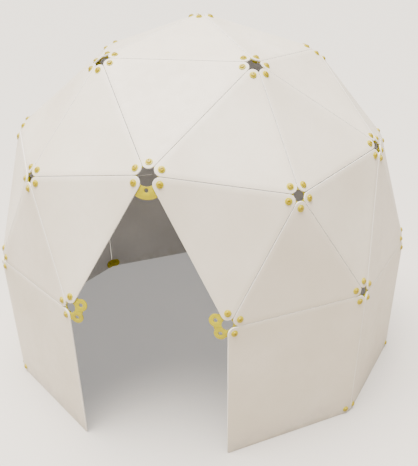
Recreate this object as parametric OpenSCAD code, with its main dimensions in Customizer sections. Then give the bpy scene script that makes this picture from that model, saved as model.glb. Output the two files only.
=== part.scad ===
// Geodesic play dome with a doorway.
// Flat sheet panels meet at their corners. A flexible ring connector lies on the
// inner faces there, and a knob through each corner is held by a screw cap inside.
// Sizes are in millimetres. The origin is the middle of the floor, +Z is up, and
// the doorway faces -Y. Seam sizes are measured on the inner faces of the panels.

/* [Panels] */
// Side of a square wall panel, seam to seam, which sets the size of the dome
panel_side = 540; // [450:5:650]
// Thickness of the panel sheet
panel_t = 5; // [3:0.5:8]
// Width of the open seam between two panels
seam_gap = 1.2; // [0.6:0.2:4]
// Distance from a corner hole to the two panel edges beside it
hole_inset = 22.5; // [20:0.5:30]
// Rounding of the two free bottom corners beside the doorway
free_corner_r = 9; // [3:1:20]

/* [Ring connectors] */
// Thickness of a ring connector
ring_t = 4; // [3:0.5:6]
// Width of one rounded lobe
lobe_d = 44; // [34:1:53]
// Opening in the middle of a five-lobed ring
five_opening_d = 38; // [24:1:46]
// Width of the band of a five-lobed ring
five_band_d = 88; // [76:1:106]
// Opening in the middle of a six-cornered ring
six_opening_d = 64; // [40:1:72]
// Width of a six-cornered ring, which is a plain band
six_band_d = 138; // [128:1:150]
// Width of the fold slit between two lobes, under a seam
fold_gap = 0.8; // [0.4:0.1:1.2]
// Thickness of the flexible web that joins two lobes
web_t = 2; // [1:0.25:2.25]
// How far the web reaches into each lobe
web_lap = 1.5; // [1:0.25:2]
// How far the web stops short of the edges of the band
web_inset = 3; // [2:0.5:5]

/* [Knobs and caps] */
// Diameter of the knob's flange
knob_d = 24; // [19:0.5:30]
// Thickness of the knob's flange
flange_t = 2.5; // [1.5:0.5:4]
// Diameter of the raised middle of the knob
boss_d = 16.5; // [12:0.5:19]
// Height of the raised middle above the flange
boss_h = 4.5; // [3:0.5:7]
// Width of the slot across the raised middle
slot_w = 2.6; // [1.6:0.2:4]
// Depth of the slot
slot_depth = 1.8; // [1:0.2:2.8]
// Diameter of the shank that goes through panel and ring
shank_d = 13; // [10:0.5:15.5]
// Clearance of the shank in the hole of a panel, on the diameter
panel_clearance = 2; // [0.5:0.5:4]
// Clearance of the shank in the hole of a ring, on the diameter
ring_clearance = 1; // [0.5:0.5:3]
// How far the shank reaches past the ring into the cap
shank_grip = 6; // [4:0.5:9]
// Diameter of the cap's flange
cap_d = 26; // [19:0.5:31]
// Wall and end thickness of the cap
cap_wall = 2; // [1.2:0.2:3]
// Clearance between shank and cap, on the radius and at the end
cap_clearance = 0.2; // [0.1:0.05:0.4]

/* [Hidden] */
$fn = 48;
edge_round = 1.2;                      // rounding of knob and cap edges
arc_lap = 0.02;                        // how far a corner arc stands past its edges
sides = 10;                            // wall positions round the floor
turn = 360 / 5;                        // the dome repeats five times
shoulder_el = atan(0.5);               // elevation of the shoulder corners
collar_el = (90 + shoulder_el) / 2;    // halfway from shoulder to apex
brow_el = 90 - collar_el;              // halfway between two shoulders
panel_hole_d = shank_d + panel_clearance;
ring_hole_d = shank_d + ring_clearance;
dome_r = panel_side / (2 * sin(180 / sides));
waist_z = panel_side - seam_gap / 2;   // wall edges rest on the floor at z = 0

// ---- corners, named by tier and counted round from the doorway ----
function on_dome(el, az) =
    dome_r * [cos(el) * cos(az), cos(el) * sin(az), sin(el)] + [0, 0, waist_z];
function apex() = on_dome(90, 0);
function collar(k) = on_dome(collar_el, turn * k - 90 - turn / 2);
function shoulder(k) = on_dome(shoulder_el, turn * k - 90 - turn / 2);
function brow(k) = on_dome(brow_el, turn * k - 90);
function waist(j) = on_dome(0, turn / 2 * j - 90 - turn / 4);
function foot(j) = waist(j) - [0, 0, panel_side];

// ---- faces, as corners counter-clockwise as seen from outside ----
function crown_face(k) = [apex(), collar(k), collar(k + 1)];
function upper_faces(k) = [
    [collar(k), shoulder(k), brow(k)],
    [collar(k), brow(k), collar(k + 1)],
    [collar(k + 1), brow(k), shoulder(k + 1)]];
function lower_faces(k) = [
    [brow(k), waist(2 * k), waist(2 * k + 1)],
    [brow(k), waist(2 * k + 1), shoulder(k + 1)],
    [shoulder(k + 1), waist(2 * k + 1), waist(2 * k + 2)],
    [shoulder(k + 1), waist(2 * k + 2), brow(k + 1)]];
function wall_face(j) = [waist(j), foot(j), foot(j + 1), waist(j + 1)];

five = [0:4];
CROWN = [for (k = five) crown_face(k)];
UPPER = [for (k = five) each upper_faces(k)];
LOWER = [for (k = five) each lower_faces(k)];
WALLS = [for (j = [0:sides - 1]) wall_face(j)];
FACES = concat(CROWN, UPPER, LOWER, WALLS);

// The first lower face and the first wall, which is under it, are left out: they are
// the doorway.
function numbered(name, faces, first) =
    [for (i = [first:len(faces) - 1]) [str(name, i + 1 - first), faces[i]]];
PANELS = concat(
    numbered("crown_panel_", CROWN, 0),
    numbered("upper_panel_", UPPER, 0),
    numbered("lower_panel_", LOWER, 1),
    numbered("wall_panel_", WALLS, 1));
RINGS = ["crown_ring", "collar_rings", "shoulder_rings", "brow_rings", "waist_rings",
    "door_top_ring", "door_left_ring", "door_right_ring", "floor_links"];

// ---- small geometry helpers ----
function unit(v) = v / norm(v);
function same(a, b) = norm(a - b) < 1;
function sum(list, i = 0) = i < len(list) - 1 ? list[i] + sum(list, i + 1) : list[i];
function normal(face) = unit(cross(face[1] - face[0], face[2] - face[0]));
function next(face, i) = face[(i + 1) % len(face)];
function previous(face, i) = face[(i + len(face) - 1) % len(face)];

// Point of a face at distance d from both edges that meet at corner i
function inset_point(face, i, d) =
    let (a = unit(next(face, i) - face[i]), b = unit(previous(face, i) - face[i]))
    face[i] + (a + b) * d / norm(cross(a, b));
function hole_point(face, i) = inset_point(face, i, hole_inset + seam_gap / 2);

// A point of a face in the face's own flat coordinates
function face_x(face) = unit(face[1] - face[0]);
function face_y(face) = cross(normal(face), face_x(face));
function flat(face, p) = [(p - face[0]) * face_x(face), (p - face[0]) * face_y(face)];

// Moves the flat coordinates onto the face, with local +Z pointing outwards
module on_face(face, p) {
    x = face_x(face);
    y = face_y(face);
    z = normal(face);
    multmatrix([[x[0], y[0], z[0], p[0]], [x[1], y[1], z[1], p[1]],
                [x[2], y[2], z[2], p[2]], [0, 0, 0, 1]]) children();
}

// ---- panels ----
function is_free(p) = same(p, foot(0)) || same(p, foot(1));
function corner_r(face, i) = is_free(face[i]) ? free_corner_r : hole_inset;
function edge_normal(a, b) = let (u = unit(b - a)) [-u[1], u[0]];

// Each corner arc stands a hair proud of the edges beside it, so that they cross cleanly
module panel_outline(face) {
    pts = [for (p = face) flat(face, p)];
    last = len(face) - 1;
    centres = [for (i = [0:last])
        flat(face, inset_point(face, i, corner_r(face, i) + seam_gap / 2))];
    polygon([for (i = [0:last]) each [
        centres[i] - corner_r(face, i) * edge_normal(previous(pts, i), pts[i]),
        centres[i] - corner_r(face, i) * edge_normal(pts[i], next(pts, i))]]);
    for (i = [0:last]) translate(centres[i]) circle(corner_r(face, i) + arc_lap);
}

module panel(face) {
    on_face(face, face[0]) linear_extrude(panel_t) difference() {
        panel_outline(face);
        for (i = [0:len(face) - 1]) if (!is_free(face[i]))
            translate(flat(face, hole_point(face, i))) circle(d = panel_hole_d);
    }
}

// ---- ring connectors ----
// Every [face, corner number] that meets at a point, with those of the doorway
function corners_at(p) =
    [for (f = FACES) for (i = [0:len(f) - 1]) if (same(f[i], p)) [f, i]];
function holes_of(corners) = [for (c = corners) hole_point(c[0], c[1])];
function hub(corners) = sum(holes_of(corners)) / len(corners);
function hub_axis(corners) = unit(sum([for (c = corners) normal(c[0])]));

// The seams on both sides of a corner, each as [start, direction, mean normal of the two faces]
function seam(c, end, beside) =
    [c[0][c[1]], unit(end - c[0][c[1]]), unit(normal(c[0]) + normal(beside[0]))];
function seam_after(c, corners) = let (end = next(c[0], c[1]))
    seam(c, end, [for (o = corners) if (same(previous(o[0], o[1]), end)) o[0]]);
function seam_before(c, corners) = let (end = previous(c[0], c[1]))
    seam(c, end, [for (o = corners) if (same(next(o[0], o[1]), end)) o[0]]);

// Local +X runs along the seam, +Z outwards, and +Y into the face that the seam starts
module on_seam(s) {
    x = s[1];
    z = s[2];
    y = cross(z, x);
    p = s[0];
    multmatrix([[x[0], y[0], z[0], p[0]], [x[1], y[1], z[1], p[1]],
                [x[2], y[2], z[2], p[2]], [0, 0, 0, 1]]) children();
}

// How far along a seam a circle of radius r round a point crosses it
function along(s, centre, r) =
    let (d = centre - s[0], across = d * cross(s[2], s[1])) d * s[1] + sqrt(r * r - across * across);

// Cuts a lobe back from the planes that halve the folds on both sides of it
module between_seams(c, corners, reach) {
    difference() {
        children();
        for (side = [0, 1])
            on_seam(side == 0 ? seam_after(c, corners) : seam_before(c, corners))
                mirror([0, side, 0]) translate([-reach, fold_gap / 2 - reach, -reach])
                    cube([2 * reach, reach, 2 * reach]);
    }
}

// The thin flexible web that joins two lobes under a seam
module web(s, from, to) {
    half = fold_gap / 2 + web_lap;
    on_seam(s) translate([from, -half, -(ring_t + web_t) / 2]) cube([to - from, 2 * half, web_t]);
}

module lobe(c, corners, opening_d, band_d, round_d) {
    face = c[0];
    centre = hub(corners);
    axis = hub_axis(corners);
    hole = flat(face, hole_point(face, c[1]));
    difference() {
        between_seams(c, corners, band_d + round_d)
            on_face(face, face[0]) translate([0, 0, -ring_t]) linear_extrude(ring_t) difference() {
                union() {
                    translate(hole) circle(d = round_d);
                    translate(flat(face, centre)) circle(d = band_d);
                }
                translate(hole) circle(d = ring_hole_d);
            }
        translate(centre) rotate([0, acos(axis[2]), atan2(axis[1], axis[0])])
            cylinder(h = band_d, d = opening_d, center = true);
    }
}

module ring(p, opening_d, band_d, round_d) {
    corners = corners_at(p);
    centre = hub(corners);
    for (c = corners) {
        s = seam_after(c, corners);
        lobe(c, corners, opening_d, band_d, round_d);
        web(s, along(s, centre, opening_d / 2) + web_inset, along(s, centre, band_d / 2) - web_inset);
    }
}

module five_ring(p) color("gold") ring(p, five_opening_d, five_band_d, lobe_d);
module six_ring(p) color("gold") ring(p, six_opening_d, six_band_d, ring_hole_d + 2 * ring_t);

module crown_ring() five_ring(apex());
module collar_rings() for (k = five) six_ring(collar(k));
module shoulder_rings() for (k = five) five_ring(shoulder(k));
module brow_rings() for (k = [1:4]) six_ring(brow(k));
module waist_rings() for (j = [2:sides - 1]) five_ring(waist(j));
module door_top_ring() six_ring(brow(0));
module door_left_ring() five_ring(waist(0));
module door_right_ring() five_ring(waist(1));

// One half of the link between two walls: a lobe with a straight arm to the seam, on
// the side of the seam that side = 1 or -1 names
module half_link(face, i, s, side) {
    hole = flat(face, hole_point(face, i));
    arm = abs(hole[1] - flat(face, face[i])[1]);
    difference() {
        on_face(face, face[0]) translate([0, 0, -ring_t]) linear_extrude(ring_t) difference() {
            union() {
                translate(hole) circle(d = lobe_d);
                translate([hole[0], flat(face, face[i])[1]]) square([lobe_d, 2 * arm], center = true);
            }
            translate(hole) circle(d = ring_hole_d);
        }
        on_seam(s) mirror([0, (1 - side) / 2, 0]) translate([-lobe_d, fold_gap / 2 - lobe_d, -lobe_d])
            cube([4 * lobe_d, lobe_d, 2 * lobe_d]);
    }
}

module floor_links() color("gold") for (j = [2:sides - 1]) {
    before = wall_face(j - 1);
    after = wall_face(j);
    s = [foot(j), [0, 0, 1], unit(normal(before) + normal(after))];
    height = hole_inset + seam_gap / 2;
    half_link(before, 2, s, 1);
    half_link(after, 1, s, -1);
    web(s, height - lobe_d / 2 + web_inset, height + lobe_d / 2 - web_inset);
}

// ---- knobs and caps, one of each at every corner hole of a panel ----
module at_holes(height) {
    for (p = PANELS) for (i = [0:len(p[1]) - 1]) if (!is_free(p[1][i])) {
        face = p[1];
        towards = flat(face, face[i]) - flat(face, hole_point(face, i));
        on_face(face, hole_point(face, i)) translate([0, 0, height])
            rotate(atan2(towards[1], towards[0])) children();
    }
}

// A disc with its upper edge rounded, as a half section for rotate_extrude
module rounded_disc(r, h) {
    square([r - edge_round, h]);
    square([r, h - edge_round]);
    translate([r - edge_round, h - edge_round]) circle(edge_round);
}

module knob() {
    reach = panel_t + ring_t + shank_grip;
    difference() {
        rotate_extrude() {
            rounded_disc(knob_d / 2, flange_t);
            rounded_disc(boss_d / 2, flange_t + boss_h);
            translate([0, -reach]) square([shank_d / 2, reach + flange_t / 2]);
        }
        translate([0, 0, flange_t + boss_h])
            cube([boss_d, slot_w, 2 * slot_depth], center = true);
    }
}

module cap() {
    bore_r = shank_d / 2 + cap_clearance;
    depth = shank_grip + cap_clearance;
    mirror([0, 0, 1]) rotate_extrude() difference() {
        union() {
            rounded_disc(cap_d / 2, flange_t);
            rounded_disc(bore_r + cap_wall, depth + cap_wall);
        }
        translate([0, -1]) square([bore_r, depth + 1]);
    }
}

module knobs() color("goldenrod") at_holes(panel_t) knob();
module caps() color("goldenrod") at_holes(-ring_t) cap();

// ---- output, one node at a time or all together ----
for (p = PANELS)
    color("whitesmoke") panel(p[1]);
crown_ring();
collar_rings();
shoulder_rings();
brow_rings();
waist_rings();
door_top_ring();
door_left_ring();
door_right_ring();
floor_links();
knobs();
caps();
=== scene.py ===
"""Looks of the play dome: sheet panels, ring connectors, knobs and caps, and a plain stage.

Laid out as an add-on. Every size is in metres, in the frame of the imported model, whose origin is the
middle of the floor, with +Z up and the doorway facing -Y.
"""

import math

import bmesh
import bpy
from mathutils import Matrix, Vector


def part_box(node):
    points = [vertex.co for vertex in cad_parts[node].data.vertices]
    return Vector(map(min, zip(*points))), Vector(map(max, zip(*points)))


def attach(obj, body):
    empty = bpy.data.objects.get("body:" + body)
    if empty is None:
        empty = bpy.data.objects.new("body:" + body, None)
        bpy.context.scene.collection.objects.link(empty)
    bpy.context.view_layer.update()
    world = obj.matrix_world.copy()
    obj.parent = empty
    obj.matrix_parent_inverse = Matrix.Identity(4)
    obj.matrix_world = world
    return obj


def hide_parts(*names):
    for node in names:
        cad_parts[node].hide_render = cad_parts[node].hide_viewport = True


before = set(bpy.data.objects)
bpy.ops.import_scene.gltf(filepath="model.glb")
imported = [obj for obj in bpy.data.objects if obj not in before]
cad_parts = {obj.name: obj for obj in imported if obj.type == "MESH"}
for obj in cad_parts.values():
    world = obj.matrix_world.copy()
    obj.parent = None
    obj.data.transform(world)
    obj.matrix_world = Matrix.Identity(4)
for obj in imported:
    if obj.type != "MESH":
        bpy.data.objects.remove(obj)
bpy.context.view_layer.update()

bl_info = {
    "name": "Play Dome",
    "version": (1, 0, 0),
    "blender": (4, 5, 0),
    "location": "View3D > Sidebar > Play Dome",
    "description": "Builds the panels, rings, knobs and caps of a geodesic play dome",
    "category": "Add Mesh",
}

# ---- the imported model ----
PANEL_NODES = sorted(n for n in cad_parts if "panel" in n)
RING_NODES = sorted(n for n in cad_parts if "ring" in n or n == "floor_links")
SEAM_GAP = 0.0012
WALL_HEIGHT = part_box("wall_panel_5")[1].z + SEAM_GAP / 2
PANEL_BOXES = {n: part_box(n) for n in PANEL_NODES}
BOX_MISS = 0.08         # a face's corners may lie this far outside its rounded panel's box, both ends summed

# ---- how finely the pieces are made ----
CORNER_STEPS = 12       # facets of a panel's round corner
HOLE_SEGMENTS = 28
ROUNDING_STEPS = 2      # facets of a rounded edge
STEEP = 0.9             # radians between two faces whose edge is rounded
BROAD = 1e-4            # square metres from which a face is shaded flat
FACE_ON = 0.97          # how nearly a face looks along the panel's normal to count as its front or back
MERGE = 2e-5            # metres within which a CAD node's loose corners are one
KNOB_SEGMENTS = 18
CAP_SEGMENTS = 16
SOFT_EDGE = 0.0011      # rounding of the moulded edges of knobs and caps

# ---- the viewer ----
AROUND, ABOVE, ROLL = 11.13, 27.8, 0.25                 # degrees: to the right of the doorway, up, tilt
VIEW_RIGHT, VIEW_DOWN, VIEW_BACK = 0.118, 0.31, 3.029   # in dome radii, from the middle of the waist
LENS, SHIFT_X, SHIFT_Y = 548.9 / 466 * 36, -0.039, 0.094


# ---- settings ----
class DomeSizes(bpy.types.PropertyGroup):
    """Sizes that the fasteners and the rounded edges are made from."""

    panel_side: bpy.props.FloatProperty(
        name="Panel side", description="Side of a square wall panel, seam to seam",
        default=WALL_HEIGHT + SEAM_GAP / 2, min=0.3, unit="LENGTH")
    panel_thickness: bpy.props.FloatProperty(
        name="Panel thickness", description="Thickness of the panel sheet",
        default=0.005, min=0.002, unit="LENGTH")
    hole_inset: bpy.props.FloatProperty(
        name="Hole inset", description="Distance from a corner hole to the two panel edges beside it",
        default=0.0225, min=0.015, unit="LENGTH")
    hole_radius: bpy.props.FloatProperty(
        name="Hole radius", description="Radius of a panel's corner hole",
        default=0.0075, min=0.003, unit="LENGTH")
    free_corner_radius: bpy.props.FloatProperty(
        name="Free corner radius", description="Rounding of a panel corner that no ring holds",
        default=0.009, min=0.002, unit="LENGTH")
    ring_thickness: bpy.props.FloatProperty(
        name="Ring thickness", description="Thickness of a ring connector",
        default=0.004, min=0.002, unit="LENGTH")
    panel_rounding: bpy.props.FloatProperty(
        name="Panel rounding", description="Rounding of the cut edges of a panel",
        default=0.0008, min=0.0001, max=0.002, unit="LENGTH")
    ring_rounding: bpy.props.FloatProperty(
        name="Ring rounding", description="Rounding of the moulded edges of a ring",
        default=0.0007, min=0.0001, max=0.0015, unit="LENGTH")
    flange_radius: bpy.props.FloatProperty(
        name="Flange radius", description="Radius of the knob's flange", default=0.012, unit="LENGTH")
    flange_height: bpy.props.FloatProperty(
        name="Flange height", description="Thickness of the knob's flange", default=0.0025, unit="LENGTH")
    boss_radius: bpy.props.FloatProperty(
        name="Boss radius", description="Radius of the raised middle of the knob",
        default=0.00825, unit="LENGTH")
    boss_height: bpy.props.FloatProperty(
        name="Boss height", description="Height of the raised middle above the flange",
        default=0.0045, unit="LENGTH")
    slot_width: bpy.props.FloatProperty(
        name="Slot width", description="Width of the slot across the raised middle",
        default=0.0026, unit="LENGTH")
    slot_depth: bpy.props.FloatProperty(
        name="Slot depth", description="Depth of the slot", default=0.0018, unit="LENGTH")
    shank_radius: bpy.props.FloatProperty(
        name="Shank radius", description="Radius of the shank through panel and ring",
        default=0.0065, unit="LENGTH")
    shank_grip: bpy.props.FloatProperty(
        name="Shank grip", description="How far the shank reaches past the ring",
        default=0.006, unit="LENGTH")
    cap_radius: bpy.props.FloatProperty(
        name="Cap radius", description="Radius of the cap's flange", default=0.013, unit="LENGTH")
    cap_wall: bpy.props.FloatProperty(
        name="Cap wall", description="Wall and end thickness of the cap", default=0.002, unit="LENGTH")
    cap_clearance: bpy.props.FloatProperty(
        name="Cap clearance", description="Clearance between shank and cap", default=0.0002, unit="LENGTH")


class DomeColours(bpy.types.PropertyGroup):
    """Colours of the moulded and cut pieces and of the stage."""

    sheet: bpy.props.FloatVectorProperty(
        name="Sheet", description="Face of the panel sheet", subtype="COLOR", size=3,
        default=(0.685, 0.6, 0.48), min=0, max=1)
    sheet_shade: bpy.props.FloatVectorProperty(
        name="Sheet shade", description="Darker patches in the panel sheet", subtype="COLOR", size=3,
        default=(0.615, 0.53, 0.41), min=0, max=1)
    # Painted shade: the inner face gets a greyer tone that stands in for the shade inside the dome.
    inner_painted_shade: bpy.props.FloatVectorProperty(
        name="Inner sheet", description="Greyer inner face of the panel sheet", subtype="COLOR", size=3,
        default=(0.63, 0.605, 0.58), min=0, max=1)
    # Painted highlight: cut edges and rounded rims are coloured paler than the face, as where light catches
    # them. The same pale colour marks the scratches as wear.
    edge_highlight_and_scratch: bpy.props.FloatVectorProperty(
        name="Cut edge", description="Cut edge of the panel sheet", subtype="COLOR", size=3,
        default=(0.8, 0.755, 0.68), min=0, max=1)
    # Darker tone, blended in towards the floor on the sheets and in scattered dirt spots on the moulded
    # pieces.
    darkening: bpy.props.FloatVectorProperty(
        name="Dust", description="Dust along the floor and on worn places", subtype="COLOR", size=3,
        default=(0.42, 0.38, 0.32), min=0, max=1)
    ring: bpy.props.FloatVectorProperty(
        name="Ring", description="Moulded yellow of the ring connectors", subtype="COLOR", size=3,
        default=(0.43, 0.362, 0.0), min=0, max=1)
    ring_shade: bpy.props.FloatVectorProperty(
        name="Ring shade", description="Deeper flow marks in the rings", subtype="COLOR", size=3,
        default=(0.37, 0.3, 0.0), min=0, max=1)
    knob: bpy.props.FloatVectorProperty(
        name="Knob", description="Pale yellow of the knob flanges", subtype="COLOR", size=3,
        default=(0.49, 0.41, 0.0), min=0, max=1)
    boss: bpy.props.FloatVectorProperty(
        name="Boss", description="Raised middle of the knobs", subtype="COLOR", size=3,
        default=(0.38, 0.275, 0.0), min=0, max=1)
    floor: bpy.props.FloatVectorProperty(
        name="Floor", description="Plain studio floor", subtype="COLOR", size=3,
        default=(0.46, 0.41, 0.345), min=0, max=1)


def sizes():
    return bpy.context.scene.dome_sizes


def colours():
    return bpy.context.scene.dome_colours


# ---- where the faces and their corner holes are ----
def dome_radius():
    """Ten wall panels stand side by side round the waist."""
    return sizes().panel_side / (2 * math.sin(math.pi / 10))


def dome_faces():
    """The held faces of the dome, as corners counter-clockwise from outside, in metres."""
    side, radius = sizes().panel_side, dome_radius()
    shoulder_el = math.atan(0.5)
    collar_el = (math.pi / 2 + shoulder_el) / 2

    def place(elevation, degrees):
        turn = math.radians(degrees)
        return Vector((radius * math.cos(elevation) * math.cos(turn),
                       radius * math.cos(elevation) * math.sin(turn),
                       radius * math.sin(elevation) + WALL_HEIGHT))

    apex = place(math.pi / 2, 0)
    faces, walls = [], []
    for k in range(5):
        collar, collar2 = place(collar_el, 72 * k - 126), place(collar_el, 72 * k - 54)
        shoulder, shoulder2 = place(shoulder_el, 72 * k - 126), place(shoulder_el, 72 * k - 54)
        brow, brow2 = place(math.pi / 2 - collar_el, 72 * k - 90), place(math.pi / 2 - collar_el, 72 * k - 18)
        waist = [place(0, 36 * j - 108) for j in (2 * k, 2 * k + 1, 2 * k + 2)]
        faces += [[apex, collar, collar2], [collar, shoulder, brow], [collar, brow, collar2],
                  [collar2, brow, shoulder2], [brow, waist[0], waist[1]], [brow, waist[1], shoulder2],
                  [shoulder2, waist[1], waist[2]], [shoulder2, waist[2], brow2]]
    for j in range(10):
        left, right = place(0, 36 * j - 108), place(0, 36 * j - 72)
        down = Vector((0, 0, -side))
        walls.append([left, left + down, right + down, right])
    del faces[4], walls[0]
    return faces + walls


def face_normal(face):
    """Outward, because the corners go counter-clockwise from outside."""
    return (face[1] - face[0]).cross(face[2] - face[0]).normalized()


def is_free(corner):
    """Whether a corner stands on the floor beside the doorway, where no ring holds it."""
    return corner.z < 0.1 and abs(corner.x) < 0.3 and corner.y < 0


def inset_corner(face, i, distance):
    """The point that lies this far from both seams of a corner, on the inner face."""
    to_next = (face[(i + 1) % len(face)] - face[i]).normalized()
    to_last = (face[i - 1] - face[i]).normalized()
    return face[i] + (to_next + to_last) * distance / to_next.cross(to_last).length


def held_corners(face):
    """(hole on the inner face, outward normal, direction to the corner) of each held corner."""
    reach = sizes().hole_inset + SEAM_GAP / 2
    holes = [(corner, inset_corner(face, i, reach)) for i, corner in enumerate(face) if not is_free(corner)]
    return [(hole, face_normal(face), (corner - hole).normalized()) for corner, hole in holes]


def corner_holes():
    """held_corners of every face."""
    return [hole for face in dome_faces() for hole in held_corners(face)]


# ---- procedural finishes ----
def finish(name, roughness, metallic=0.0, coat=0.0, coat_roughness=0.3, specular=0.5):
    """A new Principled material: (material, node tree, shader)."""
    made = bpy.data.materials.new(name)
    made.use_nodes = True
    tree = made.node_tree
    shader = tree.nodes["Principled BSDF"]
    shader.inputs["Roughness"].default_value = roughness
    shader.inputs["Metallic"].default_value = metallic
    shader.inputs["Coat Weight"].default_value = coat
    shader.inputs["Coat Roughness"].default_value = coat_roughness
    shader.inputs["Specular IOR Level"].default_value = specular
    return made, tree, shader


def noise(tree, scale, detail=2.0, stretch=(1, 1, 1), turn=(0, 0, 0), rough=0.5):
    """A noise pattern on Object coordinates, stretched and turned: its value socket."""
    where = tree.nodes.new("ShaderNodeTexCoord")
    mapping = tree.nodes.new("ShaderNodeMapping")
    mapping.inputs["Scale"].default_value = stretch
    mapping.inputs["Rotation"].default_value = turn
    pattern = tree.nodes.new("ShaderNodeTexNoise")
    pattern.inputs["Scale"].default_value = scale
    pattern.inputs["Detail"].default_value = detail
    pattern.inputs["Roughness"].default_value = rough
    tree.links.new(where.outputs["Object"], mapping.inputs["Vector"])
    tree.links.new(mapping.outputs["Vector"], pattern.inputs["Vector"])
    return pattern.outputs["Fac"]


def spread(tree, value, low, high, to_low=0.0, to_high=1.0):
    """Maps a value from low..high to to_low..to_high, clamped."""
    node = tree.nodes.new("ShaderNodeMapRange")
    for name, number in (("From Min", low), ("From Max", high), ("To Min", to_low), ("To Max", to_high)):
        node.inputs[name].default_value = number
    tree.links.new(value, node.inputs["Value"])
    return node.outputs["Result"]


def blend_colour(tree, factor, under, over):
    """Mixes two colours, each a socket or three numbers."""
    node = tree.nodes.new("ShaderNodeMix")
    node.data_type = "RGBA"
    tree.links.new(factor, node.inputs["Factor"])
    for socket, value in ((node.inputs[6], under), (node.inputs[7], over)):
        if isinstance(value, bpy.types.NodeSocket):
            tree.links.new(value, socket)
        else:
            socket.default_value = (*value, 1)
    return node.outputs[2]


def sum_of(tree, first, second, operation="ADD"):
    """Two values, each a socket or a number, added or multiplied, and kept within 0 and 1."""
    node = tree.nodes.new("ShaderNodeMath")
    node.operation = operation
    node.use_clamp = True
    for socket, value in zip(node.inputs, (first, second)):
        if isinstance(value, bpy.types.NodeSocket):
            tree.links.new(value, socket)
        else:
            socket.default_value = value
    return node.outputs[0]


def bump(tree, shader, layers):
    """Stacks bumps, each (height socket, strength, depth in metres), on a shader."""
    last = None
    for height, strength, depth in layers:
        node = tree.nodes.new("ShaderNodeBump")
        node.inputs["Strength"].default_value = strength
        node.inputs["Distance"].default_value = depth
        tree.links.new(height, node.inputs["Height"])
        if last:
            tree.links.new(last, node.inputs["Normal"])
        last = node.outputs["Normal"]
    tree.links.new(last, shader.inputs["Normal"])


def toward_floor(tree, height):
    """How near a place is to the floor, broken up by noise."""
    where = tree.nodes.new("ShaderNodeTexCoord")
    split = tree.nodes.new("ShaderNodeSeparateXYZ")
    tree.links.new(where.outputs["Object"], split.inputs[0])
    low = spread(tree, split.outputs["Z"], 0.0, height, 1.0, 0.0)
    broken = spread(tree, noise(tree, 22, 5, rough=0.6), 0.35, 0.7)
    return sum_of(tree, low, broken, "MULTIPLY")


def sheet_finish(name, light, deep):
    """Matt extruded sheet: fine grain, faint patches, hair scratches and a darker tone towards the floor."""
    c = colours()
    made, tree, shader = finish(name, 0.55, specular=0.35)
    patches = spread(tree, noise(tree, 3.2, 3), 0.36, 0.66)
    mottle = spread(tree, noise(tree, 38, 4, rough=0.6), 0.4, 0.75, 0, 0.35)
    base = blend_colour(tree, patches, light, deep)
    base = blend_colour(tree, mottle, base, deep)
    scratch_a = spread(tree, noise(tree, 9, 6, (1, 46, 46), (0.4, 0.2, 0.7)), 0.66, 0.72)
    scratch_b = spread(tree, noise(tree, 8, 6, (52, 1, 52), (0.1, 0.5, -0.4)), 0.67, 0.73)
    scratches = sum_of(tree, scratch_a, scratch_b)
    # Scratches turn towards the pale edge colour, as whitened wear.
    base = blend_colour(tree, sum_of(tree, scratches, 0.22, "MULTIPLY"), base, c.edge_highlight_and_scratch)
    # Darker towards the floor, broken up by noise.
    darkening = toward_floor(tree, 0.09)
    base = blend_colour(tree, sum_of(tree, darkening, 0.55, "MULTIPLY"), base, c.darkening)
    tree.links.new(base, shader.inputs["Base Color"])
    rough = spread(tree, noise(tree, 26, 4), 0.3, 0.7, 0.46, 0.64)
    tree.links.new(sum_of(tree, rough, sum_of(tree, scratches, 0.2, "MULTIPLY")), shader.inputs["Roughness"])
    grain = noise(tree, 950, 2)
    bump(tree, shader, [(noise(tree, 2.6, 2), 0.35, 0.004), (grain, 0.28, 0.0004), (scratches, 0.2, 0.0002)])
    return made


def edge_highlight_finish():
    """Cut edge and rounded rims painted paler, a painted highlight, with the fine marks of the cutter."""
    c = colours()
    made, tree, shader = finish("sheet_edge_painted_highlight", 0.62, specular=0.3)
    marks = spread(tree, noise(tree, 70, 4, (1, 1, 14)), 0.4, 0.65, 0, 0.5)
    base = blend_colour(tree, marks, c.edge_highlight_and_scratch, c.sheet)
    # Darker towards the floor.
    darkening = toward_floor(tree, 0.04)
    base = blend_colour(tree, sum_of(tree, darkening, 0.7, "MULTIPLY"), base, c.darkening)
    tree.links.new(base, shader.inputs["Base Color"])
    bump(tree, shader, [(noise(tree, 420, 3, (1, 1, 6)), 0.3, 0.0003)])
    return made


def moulded_finish(name, light, deep, roughness, coat, grain_scale):
    """Moulded yellow plastic: flow marks, a fine spark-eroded grain and rubbed places."""
    c = colours()
    made, tree, shader = finish(name, roughness, coat=coat, coat_roughness=0.25, specular=0.25)
    flow = spread(tree, noise(tree, 24, 4, (1, 1, 2.6), rough=0.55), 0.35, 0.7)
    base = blend_colour(tree, flow, light, deep)
    rubbed = spread(tree, noise(tree, 85, 5, rough=0.65), 0.6, 0.72, 0, 0.3)
    base = blend_colour(tree, rubbed, base, [v * 1.15 for v in light])
    dirt = spread(tree, noise(tree, 30, 6, rough=0.7), 0.64, 0.76, 0, 0.1)
    base = blend_colour(tree, dirt, base, c.darkening)
    tree.links.new(base, shader.inputs["Base Color"])
    rough = spread(tree, noise(tree, 120, 3), 0.3, 0.7, roughness - 0.08, roughness + 0.1)
    tree.links.new(rough, shader.inputs["Roughness"])
    bump(tree, shader, [(noise(tree, 60, 2), 0.2, 0.0006), (noise(tree, grain_scale, 2), 0.25, 0.00025)])
    return made


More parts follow.
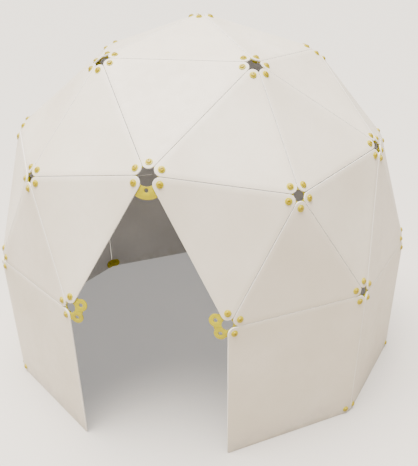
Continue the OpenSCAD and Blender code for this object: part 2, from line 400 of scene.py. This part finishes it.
# ---- meshes ----
def merged_copy(node):
    """A bmesh of a CAD node with its doubles merged and its flat faces made whole."""
    bm = bmesh.new()
    bm.from_mesh(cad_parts[node].data)
    bmesh.ops.remove_doubles(bm, verts=bm.verts, dist=MERGE)
    bmesh.ops.dissolve_degenerate(bm, edges=bm.edges, dist=MERGE)
    bmesh.ops.dissolve_limit(bm, angle_limit=math.radians(1), verts=bm.verts, edges=bm.edges,
                             use_dissolve_boundaries=False)
    return bm


def round_edges(bm, width):
    """Rounds the outer corners between faces that meet steeply."""
    sharp = [e for e in bm.edges if e.is_manifold and e.is_convex and e.calc_face_angle() > STEEP]
    bmesh.ops.bevel(bm, geom=sharp, offset=width, offset_type="OFFSET", segments=ROUNDING_STEPS, profile=0.5,
                    affect="EDGES", clamp_overlap=True, material=-1)


def add_piece(name, bm, materials, nodes, smooth=50):
    """Makes the bmesh an object that stands for CAD nodes, and hides those nodes.

    Broad flat faces are shaded flat and the small ones of a rounded edge smoothly.
    """
    for f in bm.faces:
        f.smooth = f.calc_area() < BROAD
    mesh = bpy.data.meshes.new(name)
    bm.to_mesh(mesh)
    bm.free()
    for material in materials:
        mesh.materials.append(material)
    mesh.set_sharp_from_angle(angle=math.radians(smooth))
    piece = bpy.data.objects.new(name, mesh)
    bpy.context.scene.collection.objects.link(piece)
    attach(piece, "root")
    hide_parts(*nodes)
    return piece


def spun(profile, segments):
    """A closed body turned round Z from (radius, height) points, from pole to pole."""
    bm = bmesh.new()
    verts = [bm.verts.new((r, 0, z)) for r, z in profile]
    edges = [bm.edges.new(pair) for pair in zip(verts, verts[1:])]
    bmesh.ops.spin(bm, geom=verts + edges, cent=(0, 0, 0), axis=(0, 0, 1), angle=math.tau, steps=segments,
                   use_merge=True)
    bmesh.ops.remove_doubles(bm, verts=bm.verts, dist=1e-6)
    bmesh.ops.recalc_face_normals(bm, faces=bm.faces)
    return bm


def repeated(bm, places, height):
    """One bmesh with a copy of bm at each place, standing on its face with +X to the corner."""
    pattern = bpy.data.meshes.new("pattern")
    bm.to_mesh(pattern)
    bm.free()
    whole = bmesh.new()
    for point, normal, corner in places:
        seen = len(whole.verts)
        whole.from_mesh(pattern)
        whole.verts.ensure_lookup_table()
        turn = Matrix((corner, normal.cross(corner), normal)).transposed().to_4x4()
        bmesh.ops.transform(whole, matrix=Matrix.Translation(point + normal * height) @ turn,
                            verts=whole.verts[seen:])
    bpy.data.meshes.remove(pattern)
    return whole


def rounded_outline(bm, face):
    """One flat face on the inner side of a panel, its corners turned round by spinning a point."""
    s, normal = sizes(), face_normal(face)
    for i, corner in enumerate(face):
        radius = s.free_corner_radius if is_free(corner) else s.hole_inset
        middle = inset_corner(face, i, radius + SEAM_GAP / 2)
        side_in = (corner - face[i - 1]).normalized().cross(normal)
        side_out = (face[(i + 1) % len(face)] - corner).normalized().cross(normal)
        start = bm.verts.new(middle + side_in * radius)
        bmesh.ops.spin(bm, geom=[start], cent=middle, axis=normal, angle=side_in.angle(side_out),
                       steps=CORNER_STEPS)
    outline = bm.faces.new(bm.verts[:])
    outline.normal_update()
    return outline


def cut_hole(bm, caps, hole, normal, radius, depth):
    """Rings for a hole in both faces of a panel, and the wall between them."""
    turn = normal.to_track_quat("Z", "X").to_matrix().to_4x4()
    rims = []
    for cap, height in zip(caps, (0.0, depth)):
        place = Matrix.Translation(hole + normal * height) @ turn
        ring = bmesh.ops.create_circle(bm, cap_ends=False, segments=HOLE_SEGMENTS, radius=radius,
                                       matrix=place)["verts"]
        rim = list({e for v in ring for e in v.link_edges})
        cap.extend(rim)
        rims += rim
    bmesh.ops.bridge_loops(bm, edges=rims)


def sheet_panel(face):
    """A panel of even thickness with rounded rims and its corner holes."""
    s, normal, bm = sizes(), face_normal(face), bmesh.new()
    outline = rounded_outline(bm, face)
    raised = bmesh.ops.extrude_face_region(bm, geom=[outline])["geom"]
    bmesh.ops.translate(bm, vec=normal * s.panel_thickness,
                        verts=[v for v in raised if isinstance(v, bmesh.types.BMVert)])
    bmesh.ops.recalc_face_normals(bm, faces=bm.faces)
    round_edges(bm, s.panel_rounding)
    flat = sorted(bm.faces, key=lambda f: -f.calc_area() * (abs(f.normal.dot(normal)) > FACE_ON))[:2]
    flat.sort(key=lambda f: f.calc_center_median().dot(normal))
    caps = [list(f.edges) for f in flat]
    bmesh.ops.delete(bm, geom=flat, context="FACES_ONLY")
    for hole, _, _ in held_corners(face):
        cut_hole(bm, caps, hole, normal, s.hole_radius, s.panel_thickness)
    for cap in caps:
        bmesh.ops.triangle_fill(bm, use_beauty=True, use_dissolve=False, edges=cap, normal=normal)
    bmesh.ops.recalc_face_normals(bm, faces=bm.faces)
    return bm


def node_of(face):
    """The CAD panel whose box is that of this face."""
    low = Vector([min(p[i] for p in face) for i in range(3)])
    high = Vector([max(p[i] for p in face) for i in range(3)])
    miss = {n: (box[0] - low).length + (box[1] - high).length for n, box in PANEL_BOXES.items()}
    node = min(miss, key=miss.get)
    if miss[node] > BOX_MISS:
        raise RuntimeError("no panel lies at " + str(low))
    return node


# ---- operators ----
class DomePanels(bpy.types.Operator):
    """Sheet panels with rounded rims, a grained face, a greyer inner face that is painted shade, and a cut
    edge painted paler as a highlight
    """

    bl_idname = "dome.build_panels"
    bl_label = "Build panels"

    def execute(self, context):
        c = colours()
        outside = sheet_finish("sheet_outer_face", c.sheet, c.sheet_shade)
        # The greyer inner faces are painted shade of the dim inside of the dome.
        inside = sheet_finish("sheet_inner_face_painted_shade", c.inner_painted_shade, [v * 0.88 for v in c.inner_painted_shade])
        edge = edge_highlight_finish()
        faces = {node_of(face): face for face in dome_faces()}
        if len(faces) != len(PANEL_NODES):
            raise RuntimeError("two faces were given one panel")
        for node, face in faces.items():
            outward = face_normal(face)
            bm = sheet_panel(face)
            for f in bm.faces:
                lean = f.normal.dot(outward)
                f.material_index = 0 if lean > FACE_ON else 1 if lean < -FACE_ON else 2
            add_piece("sheet_" + node, bm, [outside, inside, edge], [node])
        return {"FINISHED"}


class DomeRings(bpy.types.Operator):
    """Flexible yellow ring connectors and floor links behind the panel corners"""

    bl_idname = "dome.build_rings"
    bl_label = "Build rings"

    def execute(self, context):
        c = colours()
        plastic = moulded_finish("ring_plastic", c.ring, c.ring_shade, 0.45, 0.02, 700)
        for node in RING_NODES:
            bm = merged_copy(node)
            round_edges(bm, sizes().ring_rounding)
            add_piece("moulded_" + node, bm, [plastic], [node])
        return {"FINISHED"}


class DomeKnobs(bpy.types.Operator):
    """Knobs with a slotted, raised middle, one through each held panel corner"""

    bl_idname = "dome.build_knobs"
    bl_label = "Build knobs"

    def execute(self, context):
        s, c = sizes(), colours()
        top = s.flange_height + s.boss_height
        foot = -(s.panel_thickness + s.ring_thickness + s.shank_grip)
        soft = SOFT_EDGE
        bm = spun([(0, foot), (s.shank_radius, foot), (s.shank_radius, 0), (s.flange_radius, 0),
                   (s.flange_radius, s.flange_height - soft),
                   (s.flange_radius - soft * 0.3, s.flange_height - soft * 0.3),
                   (s.flange_radius - soft, s.flange_height), (s.boss_radius + soft * 0.5, s.flange_height),
                   (s.boss_radius, s.flange_height + soft * 0.6), (s.boss_radius - 0.0003, top - soft * 2.2),
                   (s.boss_radius - soft * 0.9, top - soft * 0.95),
                   (s.boss_radius - soft * 2.2, top - soft * 0.25),
                   (s.boss_radius - soft * 3.6, top), (0, top)], KNOB_SEGMENTS)
        for side in (-1, 1):
            cap = [f for f in bm.faces if f.calc_center_median().z > top - 1e-5]
            cap = list({e for f in cap for e in f.edges} | {v for f in cap for v in f.verts} | set(cap))
            bmesh.ops.bisect_plane(bm, geom=cap, dist=1e-6, plane_co=(0, side * s.slot_width / 2, 0),
                                   plane_no=(0, 1, 0))
        slot = [f for f in bm.faces if f.calc_center_median().z > top - 1e-5
                and abs(f.calc_center_median().y) < s.slot_width / 2]
        sunk = bmesh.ops.extrude_face_region(bm, geom=slot)["geom"]
        bmesh.ops.delete(bm, geom=slot, context="FACES")
        bmesh.ops.translate(bm, vec=(0, 0, -s.slot_depth),
                            verts=[v for v in sunk if isinstance(v, bmesh.types.BMVert)])
        bmesh.ops.recalc_face_normals(bm, faces=bm.faces)
        for f in bm.faces:
            middle = f.calc_center_median()
            near = middle.to_2d().length < s.boss_radius + soft * 0.4
            f.material_index = 1 if near and middle.z > s.flange_height + soft * 0.2 else 0
        flange = moulded_finish("knob_flange", c.knob, [v * 0.86 for v in c.knob], 0.36, 0.06, 900)
        boss = moulded_finish("knob_boss", c.boss, [v * 0.85 for v in c.boss], 0.3, 0.12, 900)
        whole = repeated(bm, corner_holes(), s.panel_thickness)
        add_piece("knob_set", whole, [flange, boss], ["knobs"], 40)
        return {"FINISHED"}


class DomeCaps(bpy.types.Operator):
    """Push-on caps that hold the shanks inside the dome"""

    bl_idname = "dome.build_caps"
    bl_label = "Build caps"

    def execute(self, context):
        s, c = sizes(), colours()
        bore = s.shank_radius + s.cap_clearance
        depth = s.shank_grip + s.cap_clearance
        outer = bore + s.cap_wall
        soft = SOFT_EDGE
        bm = spun([(0, -depth), (bore, -depth), (bore, 0), (s.cap_radius, 0),
                   (s.cap_radius, soft - s.flange_height), (s.cap_radius - soft, -s.flange_height),
                   (outer + soft * 0.4, -s.flange_height), (outer, -s.flange_height - soft * 0.5),
                   (outer - 0.0003, soft - depth - s.cap_wall), (outer - soft, -depth - s.cap_wall),
                   (0, -depth - s.cap_wall)], CAP_SEGMENTS)
        plastic = moulded_finish("cap_plastic", c.ring, c.ring_shade, 0.42, 0.04, 900)
        whole = repeated(bm, corner_holes(), -s.ring_thickness)
        add_piece("cap_set", whole, [plastic], ["caps"], 40)
        return {"FINISHED"}


class DomeStage(bpy.types.Operator):
    """Plain pale floor, soft lights and the camera"""

    bl_idname = "dome.build_stage"
    bl_label = "Build stage"

    def execute(self, context):
        scene = context.scene
        bm = bmesh.new()
        bmesh.ops.create_grid(bm, x_segments=1, y_segments=1, size=400)
        mesh = bpy.data.meshes.new("studio_floor")
        bm.to_mesh(mesh)
        bm.free()
        paint, tree, shader = finish("studio_floor", 0.8, specular=0.2)
        shader.inputs["Base Color"].default_value = (*colours().floor, 1)
        shader.inputs["Emission Color"].default_value = (1, 1, 1, 1)
        shader.inputs["Emission Strength"].default_value = 0.34
        mesh.materials.append(paint)
        floor = bpy.data.objects.new("studio_floor", mesh)
        floor.location.z = -0.0005
        scene.collection.objects.link(floor)

        world = bpy.data.worlds.new("studio_air")
        world.use_nodes = True
        world.node_tree.nodes["Background"].inputs["Color"].default_value = (0.93, 0.95, 1.0, 1)
        world.node_tree.nodes["Background"].inputs["Strength"].default_value = 0.3
        scene.world = world
        self.overhead(scene)
        self.lamp(scene, "front_fill", (-1.8, -5.0, 3.4), 3.0, 15)
        self.camera(scene)
        return {"FINISHED"}

    def overhead(self, scene):
        """One very broad light from above, a little from the front left."""
        light = bpy.data.lights.new("overhead_sail", "SUN")
        light.energy = 17
        light.angle = math.radians(55)
        sail = bpy.data.objects.new("overhead_sail", light)
        sail.rotation_euler = Vector((0.16, 0.05, -1)).to_track_quat("-Z", "Y").to_euler()
        scene.collection.objects.link(sail)

    def lamp(self, scene, name, place, size, power):
        light = bpy.data.lights.new(name, "AREA")
        light.shape = "DISK"
        light.size = size
        light.energy = power
        lamp = bpy.data.objects.new(name, light)
        lamp.location = place
        aim = Vector((0, 0, 0.7)) - Vector(place)
        lamp.rotation_euler = aim.to_track_quat("-Z", "Y").to_euler()
        scene.collection.objects.link(lamp)

    def camera(self, scene):
        """A standing viewer's place, a little to the right of the doorway."""
        around, above, roll = math.radians(AROUND), math.radians(ABOVE), math.radians(ROLL)
        level = math.cos(above)
        back = Vector((math.sin(around) * level, -math.cos(around) * level, math.sin(above)))
        right = Vector((math.cos(around), math.sin(around), 0))
        up = back.cross(right)
        x_axis = math.cos(roll) * right + math.sin(roll) * up
        y_axis = math.cos(roll) * up - math.sin(roll) * right
        data = bpy.data.cameras.new("viewer")
        data.sensor_width = 36
        data.lens = LENS
        data.shift_x = SHIFT_X
        data.shift_y = SHIFT_Y
        viewer = bpy.data.objects.new("viewer", data)
        waist = Vector((0, 0, WALL_HEIGHT))
        place = waist + dome_radius() * (right * VIEW_RIGHT - Vector((0, 0, VIEW_DOWN)) + back * VIEW_BACK)
        turn = Matrix((x_axis, y_axis, back)).transposed().to_4x4()
        viewer.matrix_world = Matrix.Translation(place) @ turn
        scene.collection.objects.link(viewer)
        scene.camera = viewer


class DomeSidebar(bpy.types.Panel):
    """Sizes, colours and the build steps"""

    bl_idname = "VIEW3D_PT_play_dome"
    bl_label = "Play Dome"
    bl_space_type = "VIEW_3D"
    bl_region_type = "UI"
    bl_category = "Play Dome"

    def draw(self, context):
        for group in (context.scene.dome_sizes, context.scene.dome_colours):
            box = self.layout.box()
            for name in group.bl_rna.properties.keys():
                if name not in ("rna_type", "name"):
                    box.prop(group, name)
        for step in STEPS:
            self.layout.operator(step.bl_idname)


STEPS = (DomePanels, DomeRings, DomeKnobs, DomeCaps, DomeStage)
CLASSES = (DomeSizes, DomeColours, *STEPS, DomeSidebar)


def register():
    for cls in CLASSES:
        bpy.utils.register_class(cls)
    bpy.types.Scene.dome_sizes = bpy.props.PointerProperty(type=DomeSizes)
    bpy.types.Scene.dome_colours = bpy.props.PointerProperty(type=DomeColours)


def unregister():
    del bpy.types.Scene.dome_sizes
    del bpy.types.Scene.dome_colours
    for cls in reversed(CLASSES):
        bpy.utils.unregister_class(cls)


def main():
    register()
    bpy.ops.dome.build_panels()
    bpy.ops.dome.build_rings()
    bpy.ops.dome.build_knobs()
    bpy.ops.dome.build_caps()
    bpy.ops.dome.build_stage()


if __name__ == "__main__":
    main()
